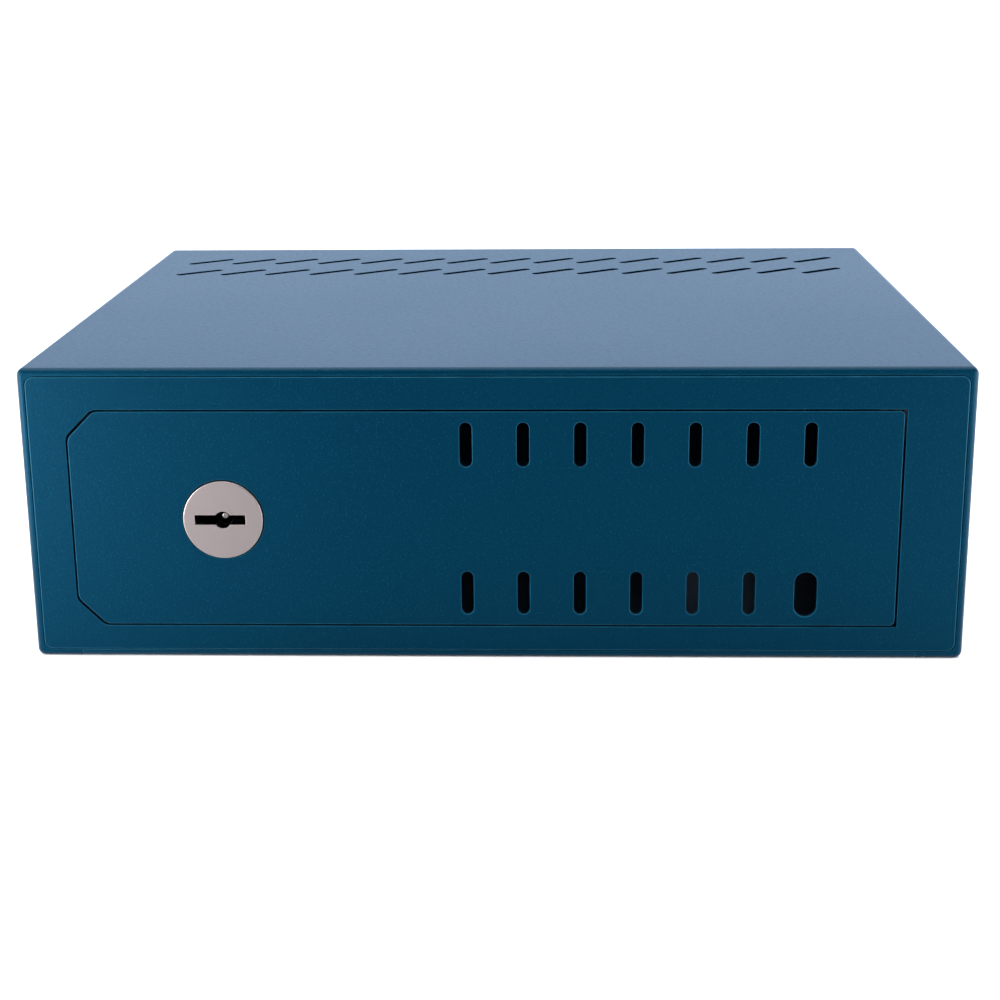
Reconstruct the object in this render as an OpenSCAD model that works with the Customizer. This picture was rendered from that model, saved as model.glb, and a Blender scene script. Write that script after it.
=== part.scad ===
// Lockable vented steel equipment cabinet with a flush front door.
// The frame is +Z up, the door faces -Y, and the origin is under the middle of the cabinet.

/* [Cabinet] */
// Outside width of the cabinet
cabinet_w = 500; // [490:5:560]
// Depth over the proud lock face and the back edge
overall_d = 400; // [360:10:500]
// Outside height of the cabinet
cabinet_h = 160; // [156:2:190]
// Thickness of the folded sheet
sheet_t = 2; // [1.5:0.25:2.5]
// Outside radius of the sheet bends
bend_r = 4; // [3:0.5:5]
// Width of the flanges turned in under the sides
flange_w = 25; // [15:5:40]
// Width of the rim folded in round the front
rim_w = 4; // [3:0.25:5]
// How far the back panel sits in from the back edge
back_inset = 3; // [3:1:8]

/* [Front] */
// Thickness of the front frame and the door plate
plate_t = 3; // [3:0.25:4]
// Width of the door aperture
aperture_w = 440; // [430:5:445]
// Height of the door aperture
aperture_h = 120; // [118:1:126]
// Sideways offset of the aperture from the cabinet's middle
aperture_x = -6; // [-8:1:-4]
// Height of the middle of the aperture
aperture_z = 78; // [78:1:82]
// Gap round the door on three sides
door_gap = 1; // [0.8:0.1:1.2]
// Gap at the hinge edge of the door
hinge_gap = 1.2; // [1.2:0.1:1.6]
// Leg of the cut corners on the lock side
corner_cut = 14.5; // [10:0.5:18]
// Blend radius at the ends of each cut corner
corner_blend = 6.5; // [4:0.5:8]

/* [Vents] */
// Number of slots in each row on the door
door_vents = 7; // [5:1:7]
// Spacing of the slots on the door and the top
vent_pitch = 30; // [28:1:30]
// First slot on the door, from the cabinet's middle
door_vent_x = -15; // [-20:1:-10]
// Height of the slot rows above and below the aperture's middle
door_vent_rise = 41; // [40:1:42]
// Length of a door slot
door_vent_len = 24; // [20:1:26]
// Width of a door slot
door_vent_w = 6.5; // [5:0.5:8]
// Width of the last lower slot, which also passes a thin cable
wide_vent_w = 12; // [8:1:14]
// Extra length of that slot at its lower end
wide_vent_extra = 1; // [0:0.5:2]
// Number of slots in each row on the top
top_vents = 15; // [11:2:15]
// Length of a top slot
top_vent_len = 34; // [26:1:36]
// Width of a top slot
top_vent_w = 5.5; // [4:0.5:7]
// Slant of the top slots in degrees
top_vent_slant = 37; // [30:1:45]

/* [Lock] */
// Lock centre from the cabinet's middle
lock_x = -144.5; // [-146:0.5:-143]
// How far the lock face stands proud of the door
lock_proud = 1; // [0.5:0.25:1.5]
// Radius of the lock face
lock_r = 21.3; // [20:0.1:22]
// Length of the key slot
key_slot_w = 27; // [24:1:30]
// How far the key slot reaches further to the left than to the right of the hub
key_slot_shift = 1.5; // [0:0.25:2]
// Height of the key slot
key_slot_h = 5.2; // [4.5:0.1:5.5]
// Radius of the hub in the key slot
key_hub_r = 4.6; // [4:0.1:5]
// Radius of a locking bolt
bolt_r = 5; // [4:0.25:5]

/* [Hinge] */
// Hinge axis in from the door's edge
hinge_in = 20; // [20:1:24]
// Hinge axis behind the back of the plate
hinge_back = 5; // [5:0.25:6]
// Radius of a hinge pin
pin_r = 3; // [2.5:0.25:3]

/* [Hidden] */
$fn = 48;

// Colours
PAINT = [0.07, 0.29, 0.40];
NICKEL = [0.68, 0.65, 0.65];
ZINC = [0.72, 0.73, 0.74];
STEEL = [0.55, 0.56, 0.58];
BRASS = [0.78, 0.62, 0.32];
RUBBER = [0.08, 0.08, 0.09];

// Depth planes, from the front to the back
face_y = -overall_d / 2 + lock_proud;
plate_back = face_y + plate_t;
back_edge = overall_d / 2;
panel_back = back_edge - back_inset;
panel_front = panel_back - sheet_t;
rim_y = face_y + 0.6;
rim_back = rim_y + sheet_t;

// Clear inside of the folded sheet
inside_w = cabinet_w - 2 * sheet_t;
inside_top = cabinet_h - sheet_t;
inner_bend = bend_r - sheet_t;

// Edge of the front frame
frame_r = 5;
frame_groove = 0.5;
groove_depth = 1.4;

// Sides of the aperture and of the door
ap_left = aperture_x - aperture_w / 2;
ap_right = aperture_x + aperture_w / 2;
ap_low = aperture_z - aperture_h / 2;
ap_high = aperture_z + aperture_h / 2;
door_left = ap_left + door_gap;
door_right = ap_right - hinge_gap;
door_low = ap_low + door_gap;
door_high = ap_high - door_gap;
door_r = 2.5;

// Hinge
pin_x = door_right - hinge_in;
pin_y = plate_back + hinge_back;
running = 0.05;
snug = 0.02;
knuckle_w = 12;
knuckle_len = 17;
washer_t = 1.5;
washer_r = hinge_back - 0.2;
bracket_t = 3;
bracket_w = 20;
bracket_out = hinge_back + 8;
bracket_up = 11;
pin_reach = 15;
knuckle_gap = door_gap + 0.5;

// Lock, in depth behind the door plate
lock_z = aperture_z;
case_t = 2;
case_left = -77.5;
case_right = 40;
case_half_h = 36;
case_depth = 22;
flange_r = 25;
flange_y = plate_back + case_t;
disc_y = flange_y + 2.2;
disc_t = 2;
disc_r = 19;
core_r = 6.5;
lever_y = disc_y + disc_t + 0.4;
lever_t = 1.6;
lever_pitch = 2.4;
lever_count = 4;
rear_disc_y = lever_y + lever_count * lever_pitch - 0.4;
rear_disc_r = 12;
carriage_y = rear_disc_y + disc_t + 0.4;
carriage_t = 2.8;
cover_y = plate_back + case_depth;
spindle_r = 2.5;

// Pinion and rack
pitch_r = 4;
pinion_teeth = 10;
tooth_pitch = 2 * PI * pitch_r / pinion_teeth;
bolt_throw = PI * pitch_r;
tooth_root = 1.1;
tooth_tip = 0.7;
tooth_root_half = 0.75;
tooth_tip_half = 0.28;
rack_teeth = 7;

// Bolts and the carriage that carries them
bolt_rise = 20;
bolt_y = plate_back + 11;
bolt_tip = -79.5;
web_left = -41;
web_t = 3;
spigot_r = 3.5;
carriage_half_h = 26;
guide_r = 2.5;
guide_play = 0.3;
guide_a = [-26, 0];
guide_b = [8, -17];
stump_x = 2;
stump_z = 20.4;

// Levers
lever_pivot = [24, 21.5];
lever_post_r = 3;
lever_eye_r = 7;
lever_left = -20;
lever_low = 14;
lever_high = 29;

// Fixing studs of the lock
stud_r = 2.5;
stud_len = 30;
nut_t = 4;
nut_r = 4.6;
stud_at = [[-68, -29.5], [-68, 29.5], [33, -29.5], [33, 29.5]];

// Anchor holes and the cable entry
anchor_r = 4.5;
wall_anchor_x = 200;
wall_anchor_z = 45;
floor_anchor_x = 190;
floor_anchor_y = 130;
cable_x = 150;
cable_z = 64;
cable_hole_r = 20;
cable_bore_r = 14;
grommet_lip = 3;
grommet_side = 2.5;

// Unit vector along v
function unit(v) = v / norm(v);

// Points of a blend of radius r at p, between the sides that come from a and go to b
function blend(a, p, b, r, steps = 6) = r <= 0 ? [p] :
  let (
    u = unit(a - p),
    w = unit(b - p),
    half = acos(u * w) / 2,
    centre = p + unit(u + w) * r / sin(half),
    from = p + u * r / tan(half) - centre,
    to = p + w * r / tan(half) - centre
  )
  [for (i = [0:steps]) centre + r * unit(from * (steps - i) + to * i)];

// Outline through the corners, each blended with its own radius
function blended(corners, radii) =
  let (n = len(corners))
  [for (i = [0:n - 1]) each blend(corners[(i + n - 1) % n], corners[i], corners[(i + 1) % n], radii[i])];

// Corners of a box from x0 to x1 and z0 to z1
function box_corners(x0, x1, z0, z1) = [[x0, z0], [x1, z0], [x1, z1], [x0, z1]];

// Outline of a door or its aperture, with both left corners cut
function cut_corners(x0, x1, z0, z1, cut) =
  [[x0 + cut, z0], [x1, z0], [x1, z1], [x0 + cut, z1], [x0, z1 - cut], [x0, z0 + cut]];

// Extrudes an outline in X and Z along Y
module upright(y, depth) {
  translate([0, y + depth, 0]) rotate([90, 0, 0]) linear_extrude(depth) children();
}

// Extrudes an outline in Y and Z along X
module across(x, length) {
  translate([x, 0, 0]) rotate([90, 0, 90]) linear_extrude(length) children();
}

// Round bar along Y
module rod_y(r, y0, y1) {
  translate([0, y0, 0]) rotate([-90, 0, 0]) cylinder(r = r, h = y1 - y0);
}

// Round bar along X
module rod_x(r, x0, x1) {
  translate([x0, 0, 0]) rotate([0, 90, 0]) cylinder(r = r, h = x1 - x0);
}

// Slot with round ends, along X
module slot_2d(length, width) {
  square([length - width, width], center = true);
  for (side = [-1, 1]) translate([side * (length - width) / 2, 0]) circle(d = width);
}

// Moves its children to a point of the lock, given from the lock's centre
module at_lock(x = 0, z = 0) {
  translate([lock_x + x, 0, lock_z + z]) children();
}

// Key shape: a slot and a round hub
module keyway_2d() {
  translate([-key_slot_shift, 0]) square([key_slot_w, key_slot_h], center = true);
  circle(r = key_hub_r);
}

// Folded sheet that makes the top, both sides and the flanges under them
module cabinet_wrapper() {
  over = 1;
  color(PAINT)
  difference() {
    union() {
      wrapper_length(rim_y, sheet_t, rim_w, frame_r);
      wrapper_length(rim_back, back_edge - rim_back, sheet_t, inner_bend);
    }
    for (row = [102, 147])
      for (i = [0:top_vents - 1])
        translate([(i - (top_vents - 1) / 2) * vent_pitch, row * overall_d / 400, inside_top - over])
          rotate([0, 0, top_vent_slant])
            linear_extrude(sheet_t + 2 * over) slot_2d(top_vent_len, top_vent_w);
  }
}

// A length of the folded sheet, open between its bottom flanges
module wrapper_length(front, length, wall, inner_r) {
  half = cabinet_w / 2;
  inside = half - wall;
  over = 1;
  upright(front, length) difference() {
    polygon(blended(box_corners(-half, half, 0, cabinet_h), [for (i = [0:3]) bend_r]));
    polygon(blended(box_corners(-inside, inside, wall, cabinet_h - wall), [for (i = [0:3]) inner_r]));
    translate([-half + flange_w, -over]) square([cabinet_w - 2 * flange_w, wall + 2 * over]);
  }
}

// Floor, welded in level between the flanges, with its front edge turned up into the rim
module floor_panel() {
  half = cabinet_w / 2 - flange_w;
  color(PAINT) {
    linear_extrude(sheet_t) difference() {
      translate([-half, rim_back]) square([2 * half, back_edge - rim_back]);
      for (x = [-1, 1], y = [-1, 1])
        translate([x * floor_anchor_x, y * floor_anchor_y]) circle(r = anchor_r);
    }
    translate([-half, rim_y, 0]) cube([2 * half, sheet_t, rim_w]);
  }
}

// Back panel with the wall anchor holes and the cable hole
module back_panel() {
  half = inside_w / 2;
  mid = cabinet_h / 2;
  color(PAINT)
  upright(panel_front, sheet_t) difference() {
    polygon(blended(box_corners(-half, half, sheet_t, inside_top), [for (i = [0:3]) inner_bend]));
    for (x = [-1, 1], z = [-1, 1])
      translate([x * wall_anchor_x, mid + z * wall_anchor_z]) circle(r = anchor_r);
    translate([cable_x, cable_z]) circle(r = cable_hole_r);
  }
}

// Front frame, set in the rim with a fine groove round it, and the door aperture
module front_frame() {
  color(PAINT)
  difference() {
    union() {
      frame_length(face_y + groove_depth, plate_t - groove_depth, 0);
      frame_length(face_y, groove_depth, frame_groove);
    }
    upright(face_y - 1, plate_t + 2)
      polygon(blended(
        cut_corners(ap_left, ap_right, ap_low, ap_high, corner_cut),
        [corner_blend, 0, 0, corner_blend, corner_blend, corner_blend]));
  }
}

// A length of the front frame, narrower all round than the rim by a gap
module frame_length(front, length, gap) {
  edge = rim_w + gap;
  half = cabinet_w / 2 - edge;
  upright(front, length)
    polygon(blended(box_corners(-half, half, edge, cabinet_h - edge), [for (i = [0:3]) frame_r - gap]));
}

// Strip behind the frame that the closed door comes to rest against
module door_stop(side) {
  edge = side > 0 ? ap_high : ap_low;
  stop_t = 2;
  lap = 6.5;
  root = 10;
  shy = 0.3;
  color(PAINT)
  across(-190, 130)
    polygon([
      [plate_back, edge + side],
      [plate_back, edge + side * root],
      [plate_back + stop_t, edge + side * root],
      [plate_back + stop_t, edge - side * lap],
      [plate_back + shy, edge - side * lap],
      [plate_back + shy, edge + side]
    ]);
}

// Angle behind the frame with the holes that the bolts enter
module bolt_keeper() {
  plate = 2.5;
  stand = ap_left - 1.5;
  foot = 13;
  half = 28;
  hole_r = bolt_r + 0.8;
  color(ZINC)
  difference() {
    translate([0, 0, lock_z - half]) linear_extrude(2 * half)
      polygon([
        [stand, plate_back],
        [stand, plate_back + 20],
        [stand - plate, plate_back + 20],
        [stand - plate, plate_back + plate],
        [stand - plate - foot, plate_back + plate],
        [stand - plate - foot, plate_back]
      ]);
    for (side = [-1, 1])
      translate([0, bolt_y, lock_z + side * bolt_rise]) rod_x(hole_r, stand - plate - 1, stand + 1);
  }
}

// Angle behind the frame that holds a hinge pin; side is +1 for the upper one
module hinge_bracket(side) {
  edge = side > 0 ? ap_high : ap_low;
  color(PAINT)
  difference() {
    across(pin_x - bracket_w / 2, bracket_w)
      polygon([
        [plate_back, edge],
        [plate_back + bracket_out, edge],
        [plate_back + bracket_out, edge + side * bracket_t],
        [plate_back + bracket_t, edge + side * bracket_t],
        [plate_back + bracket_t, edge + side * (bracket_t + bracket_up)],
        [plate_back, edge + side * (bracket_t + bracket_up)]
      ]);
    translate([pin_x, pin_y, edge - 2 * bracket_t]) cylinder(r = pin_r + snug, h = 4 * bracket_t);
  }
}

// Plain dowel that a knuckle turns on
module hinge_pin(side) {
  edge = side > 0 ? ap_high + bracket_t : ap_low - bracket_t;
  length = bracket_t + knuckle_gap + pin_reach;
  color(ZINC)
  translate([pin_x, pin_y, side > 0 ? edge - length : edge]) cylinder(r = pin_r, h = length);
}

// Thrust washers between the brackets and the knuckles
module hinge_washers() {
  color(ZINC)
  for (z = [ap_low, ap_high - washer_t])
    translate([pin_x, pin_y, z])
      difference() {
        cylinder(r = washer_r, h = washer_t);
        translate([0, 0, -1]) cylinder(r = pin_r + snug, h = washer_t + 2);
      }
}

// Rubber ring that lines the cable hole
module cable_grommet() {
  outer = cable_hole_r + grommet_lip;
  front = panel_front - grommet_side;
  length = sheet_t + 2 * grommet_side;
  color(RUBBER)
  translate([cable_x, front, cable_z]) rotate([-90, 0, 0])
    rotate_extrude()
      polygon([
        [cable_bore_r, 0],
        [outer - 1, 0],
        [outer, 1],
        [outer, grommet_side],
        [cable_hole_r, grommet_side],
        [cable_hole_r, grommet_side + sheet_t],
        [outer, grommet_side + sheet_t],
        [outer, length - 1],
        [outer - 1, length],
        [cable_bore_r, length]
      ]);
}

// Flush door with two rows of slots, cut corners and the lock hole
module door_plate() {
  lock_hole = lock_r + 0.5;
  color(PAINT)
  upright(face_y, plate_t) difference() {
    polygon(blended(
      cut_corners(door_left, door_right, door_low, door_high, corner_cut),
      [corner_blend, door_r, door_r, corner_blend, corner_blend, corner_blend]));
    for (i = [0:door_vents - 1]) {
      x = door_vent_x + i * vent_pitch;
      wide = i == door_vents - 1;
      translate([x, aperture_z + door_vent_rise]) rotate(90) slot_2d(door_vent_len, door_vent_w);
      translate([x, aperture_z - door_vent_rise - (wide ? wide_vent_extra / 2 : 0)])
        rotate(90)
          slot_2d(door_vent_len + (wide ? wide_vent_extra : 0), wide ? wide_vent_w : door_vent_w);
    }
    translate([lock_x, lock_z]) circle(r = lock_hole);
  }
}

// Hat section welded along the middle of the door
module door_stiffener() {
  gauge = 1.5;
  crown = 12;
  rise = 12;
  brim = 23;
  color(PAINT)
  across(-60, 235)
    translate([plate_back, aperture_z])
      polygon([
        [0, -brim], [gauge, -brim], [gauge, -crown], [rise, -crown],
        [rise, crown], [gauge, crown], [gauge, brim], [0, brim],
        [0, crown - gauge], [rise - gauge, crown - gauge],
        [rise - gauge, gauge - crown], [0, gauge - crown]
      ]);
}

// Bored block on the back of the door
module hinge_knuckle(side) {
  low = side > 0 ? ap_high - knuckle_gap - knuckle_len : ap_low + knuckle_gap;
  color(PAINT)
  difference() {
    translate([0, 0, low]) linear_extrude(knuckle_len)
      polygon(blended(
        box_corners(pin_x - knuckle_w / 2, pin_x + knuckle_w / 2, plate_back, pin_y + hinge_back),
        [0, 0, 2, 2]));
    translate([pin_x, pin_y, low - 1]) cylinder(r = pin_r + running, h = knuckle_len + 2);
  }
}

// Tray of the lock, open to the back
module lock_case() {
  hole_r = lock_r + 0.5;
  color(ZINC)
  at_lock() difference() {
    upright(plate_back, case_depth)
      polygon(blended(box_corners(case_left, case_right, -case_half_h, case_half_h), [3, 3, 3, 3]));
    upright(flange_y, case_depth)
      polygon(blended(
        box_corners(case_left + case_t, case_right - case_t, case_t - case_half_h, case_half_h - case_t),
        [1, 1, 1, 1]));
    rod_y(hole_r, plate_back - 1, flange_y + 1);
    for (p = stud_at) translate([p[0], 0, p[1]]) rod_y(stud_r + 0.2, plate_back - 1, flange_y + 1);
    for (side = [-1, 1])
      translate([0, bolt_y, side * bolt_rise]) rod_x(bolt_r + running, case_left - 1, case_left + case_t + 1);
  }
}

// Plate that closes the lock case
module lock_cover() {
  color(ZINC)
  at_lock() difference() {
    upright(cover_y, case_t)
      polygon(blended(box_corners(case_left, case_right, -case_half_h, case_half_h), [3, 3, 3, 3]));
    rod_y(spindle_r + running, cover_y - 1, cover_y + case_t + 1);
    for (p = stud_at) translate([p[0], 0, p[1]]) rod_y(stud_r + 0.2, cover_y - 1, cover_y + case_t + 1);
  }
}

// Studs welded to the door that carry the lock
module lock_studs() {
  color(ZINC)
  for (p = stud_at) at_lock(p[0], p[1]) rod_y(stud_r, plate_back, plate_back + stud_len);
}

// Hexagon nuts on the studs
module lock_nuts() {
  top = cover_y + case_t;
  color(ZINC)
  for (p = stud_at) at_lock(p[0], p[1]) difference() {
    translate([0, top, 0]) rotate([-90, 0, 0]) cylinder(r = nut_r, h = nut_t, $fn = 6);
    rod_y(stud_r + snug, top - 1, top + nut_t + 1);
  }
}

// Round lock face with the keyway, and the flange that holds it behind the door
module lock_escutcheon() {
  front = face_y - lock_proud;
  rear = disc_y + disc_t;
  color(NICKEL)
  at_lock() difference() {
    union() {
      rod_y(lock_r, front, flange_y);
      rod_y(flange_r, flange_y, rear);
    }
    rod_y(disc_r + running, disc_y - 0.2, rear + 1);
    upright(front - 1, disc_y - front + 1) keyway_2d();
  }
}

// Turning barrel that takes the key and drives the rack
module key_rotor() {
  color(STEEL)
  at_lock() {
    difference() {
      union() {
        rod_y(disc_r, disc_y, disc_y + disc_t);
        rod_y(core_r, disc_y + disc_t, rear_disc_y);
      }
      upright(disc_y - 1, rear_disc_y - disc_y + 2) keyway_2d();
    }
    rod_y(rear_disc_r, rear_disc_y, rear_disc_y + disc_t);
    upright(rear_disc_y + disc_t, carriage_y + carriage_t - rear_disc_y - disc_t) pinion_2d();
    rod_y(spindle_r, carriage_y + carriage_t, cover_y + case_t);
  }
}

// Pinion outline with one tooth straight down
module pinion_2d() {
  root = pitch_r - tooth_root;
  tip = pitch_r + tooth_tip;
  circle(r = root);
  for (i = [0:pinion_teeth - 1])
    rotate(i * 360 / pinion_teeth + 270)
      polygon([
        [0, -tooth_root_half], [root, -tooth_root_half], [tip, -tooth_tip_half],
        [tip, tooth_tip_half], [root, tooth_root_half], [0, tooth_root_half]
      ]);
}

// Pin that a hollow key slides over
module key_centre_pin() {
  tip_r = 1.8;
  color(NICKEL)
  at_lock() rod_y(tip_r, disc_y - 0.2, rear_disc_y);
}

// Sliding plate with the rack, the stump and the web that carries the bolts
module bolt_carriage() {
  window_left = -7;
  window_right = 7 + bolt_throw;
  rack_root = -pitch_r - tooth_root;
  slot_half = guide_r + guide_play;
  color(STEEL)
  at_lock() {
    upright(carriage_y, carriage_t) {
      difference() {
        polygon([
          [web_left + web_t, -carriage_half_h], [27, -carriage_half_h], [27, 12], [10, 12],
          [10, carriage_half_h], [web_left + web_t, carriage_half_h]
        ]);
        translate([window_left, rack_root])
          square([window_right - window_left, 7 - rack_root]);
        for (g = [guide_a, guide_b])
          translate([g[0] + bolt_throw / 2, g[1]]) slot_2d(bolt_throw + 2 * slot_half, 2 * slot_half);
      }
      for (k = [0:rack_teeth - 1])
        translate([(k - 0.5) * tooth_pitch, rack_root])
          polygon([
            [-tooth_root_half, -1], [tooth_root_half, -1], [tooth_root_half, 0],
            [tooth_tip_half, tooth_root + tooth_tip - 0.1],
            [-tooth_tip_half, tooth_root + tooth_tip - 0.1], [-tooth_root_half, 0]
          ]);
    }
    difference() {
      translate([web_left, plate_back + 5, -carriage_half_h])
        cube([web_t, carriage_y + carriage_t - plate_back - 5, 2 * carriage_half_h]);
      for (side = [-1, 1])
        translate([0, bolt_y, side * bolt_rise]) rod_x(spigot_r + snug, web_left - 1, web_left + web_t + 1);
    }
    translate([stump_x, lever_y, stump_z]) cube([4, carriage_y - lever_y, 3.2]);
  }
}

// Round bolt with a spigot riveted in the carriage
module locking_bolt(side) {
  nose = 1;
  color(ZINC)
  at_lock(0, side * bolt_rise) translate([0, bolt_y, 0]) {
    translate([bolt_tip, 0, 0]) rotate([0, 90, 0]) cylinder(r1 = bolt_r - nose, r2 = bolt_r, h = nose);
    rod_x(bolt_r, bolt_tip + nose, web_left);
    rod_x(spigot_r, web_left, web_left + web_t);
  }
}

// Posts on the cover that guide the carriage
module guide_posts() {
  color(ZINC)
  for (g = [guide_a, guide_b]) at_lock(g[0], g[1]) rod_y(guide_r, carriage_y - 0.5, cover_y);
}

// Post that the levers pivot on
module lever_post() {
  color(ZINC)
  at_lock(lever_pivot[0], lever_pivot[1]) rod_y(lever_post_r, flange_y, cover_y);
}

// Rings that keep the levers apart
module lever_spacers() {
  ring_r = 5;
  play = 0.1;
  color(BRASS)
  for (i = [1:lever_count - 1])
    at_lock(lever_pivot[0], lever_pivot[1]) difference() {
      rod_y(ring_r, lever_y + i * lever_pitch - lever_pitch + lever_t + play, lever_y + i * lever_pitch - play);
      rod_y(lever_post_r + snug, lever_y, lever_y + lever_count * lever_pitch);
    }
}

// One lever with its eye and the window that the stump runs in
module lever(index) {
  window_left = -12;
  color(BRASS)
  at_lock() upright(lever_y + index * lever_pitch, lever_t) difference() {
    union() {
      translate([lever_left, lever_low]) square([lever_pivot[0] - lever_left, lever_high - lever_low]);
      translate(lever_pivot) circle(r = lever_eye_r);
    }
    translate([window_left, 17]) square([7.5 - window_left, 9.5]);
    translate(lever_pivot) circle(r = lever_post_r + running);
  }
}

// Leaf springs between the case and the levers
module lever_springs() {
  leaf = 0.4;
  roof = case_half_h - case_t;
  color(STEEL)
  for (i = [0:lever_count - 1])
    at_lock() upright(lever_y + i * lever_pitch + 0.2, lever_t - 0.4)
      polygon([
        [-16, lever_high], [-12, lever_high], [14, roof - leaf], [18, roof - leaf],
        [18, roof], [13.5, roof], [-12.5, lever_high + leaf], [-16, lever_high + leaf]
      ]);
}

cabinet_wrapper();
floor_panel();
back_panel();
front_frame();
door_stop(1);  // door_stop_upper
door_stop(-1);  // door_stop_lower
bolt_keeper();
hinge_bracket(1);  // hinge_bracket_upper
hinge_bracket(-1);  // hinge_bracket_lower
hinge_pin(1);  // hinge_pin_upper
hinge_pin(-1);  // hinge_pin_lower
hinge_washers();
cable_grommet();
door_plate();
door_stiffener();
hinge_knuckle(1);  // hinge_knuckle_upper
hinge_knuckle(-1);  // hinge_knuckle_lower
lock_case();
lock_cover();
lock_studs();
lock_nuts();
lock_escutcheon();
key_rotor();
key_centre_pin();
bolt_carriage();
locking_bolt(1);  // locking_bolt_upper
locking_bolt(-1);  // locking_bolt_lower
guide_posts();
lever_post();
lever_spacers();
lever(0);  // lever_1
lever(1);  // lever_2
lever(2);  // lever_3
lever(3);  // lever_4
lever_springs();
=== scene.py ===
"""Looks of a lockable vented steel equipment cabinet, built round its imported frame.

Every sub-assembly is a class that makes its own pieces in metres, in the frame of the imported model.
Sheet parts get rolled paint edges, the lock gets machined and plated surfaces, and the welds,
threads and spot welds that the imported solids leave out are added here.
"""

import logging
import math
from dataclasses import dataclass, field
from enum import Enum
from functools import cache
from typing import Callable, Iterable, Sequence

import bmesh
import bpy
from mathutils import Matrix, Vector


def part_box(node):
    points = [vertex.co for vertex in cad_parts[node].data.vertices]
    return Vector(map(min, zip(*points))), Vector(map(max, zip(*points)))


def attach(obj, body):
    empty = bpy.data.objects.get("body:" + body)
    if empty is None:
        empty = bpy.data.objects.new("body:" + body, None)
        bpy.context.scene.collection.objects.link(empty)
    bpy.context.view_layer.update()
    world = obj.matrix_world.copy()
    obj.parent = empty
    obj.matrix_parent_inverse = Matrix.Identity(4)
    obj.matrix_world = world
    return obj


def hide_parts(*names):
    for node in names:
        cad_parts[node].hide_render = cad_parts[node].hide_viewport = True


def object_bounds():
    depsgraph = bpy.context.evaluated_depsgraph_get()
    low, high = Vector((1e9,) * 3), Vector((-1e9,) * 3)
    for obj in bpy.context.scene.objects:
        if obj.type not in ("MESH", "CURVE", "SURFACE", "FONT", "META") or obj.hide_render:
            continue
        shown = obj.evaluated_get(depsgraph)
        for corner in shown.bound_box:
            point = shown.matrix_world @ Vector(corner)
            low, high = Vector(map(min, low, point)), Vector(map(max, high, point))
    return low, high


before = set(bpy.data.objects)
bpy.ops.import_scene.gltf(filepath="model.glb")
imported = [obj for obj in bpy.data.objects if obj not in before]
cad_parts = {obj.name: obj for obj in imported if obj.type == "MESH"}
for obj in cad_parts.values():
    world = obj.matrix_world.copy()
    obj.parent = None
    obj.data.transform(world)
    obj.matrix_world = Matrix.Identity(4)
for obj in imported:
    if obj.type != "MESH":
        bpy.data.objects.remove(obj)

CAD_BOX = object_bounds()
LOG = logging.getLogger("cabinet")

MM = 0.001
MERGE_GAP = 0.002 * MM
FLAT_ANGLE = math.radians(0.4)
SHARP_ANGLE = math.radians(32)
BIG_FACE = 2000 * MM * MM
# Vertex layer of rolled edges, which take the lighter edge colour: rubbed finish, and on the paint also
# painted highlight.
EDGE_LAYER = "paint_edge"
# Vertex layer of painted shade: how far a point's colour is darkened to stand for shade in recesses and
# gaps.
SHADE_LAYER = "painted_shade"
SIDES = ("upper", "lower")
RIGHT = Vector((1, 0, 0))
UP = Vector((0, 0, 1))

Point = tuple[float, float, float]
Colour = tuple[float, float, float]
Profile = Sequence[tuple[float, float]]
Socket = bpy.types.NodeSocket
Node = bpy.types.Node
Tree = bpy.types.NodeTree
Material = bpy.types.Material
Piece = bpy.types.Object
Draft = bmesh.types.BMesh
Edge = bmesh.types.BMEdge
EdgeTest = Callable[[Edge], bool]
PointTest = Callable[[Vector], bool]


class Body(Enum):
    """The rigid bodies that pieces ride on."""

    CABINET = "cabinet"
    DOOR = "door"
    ROTOR = "rotor"
    BOLTS = "bolts"


class Slot(Enum):
    """The material slots of the record."""

    PAINT = "blue_powder_coat"
    ZINC = "zinc_plate"
    NICKEL = "satin_nickel"
    STEEL = "bare_steel"
    BRASS = "lever_brass"
    RUBBER = "grommet_rubber"


class Axis(Enum):
    """The direction that a turned piece is turned about."""

    Y = "Y"
    Z = "Z"


# ---- Shader building ----


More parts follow.
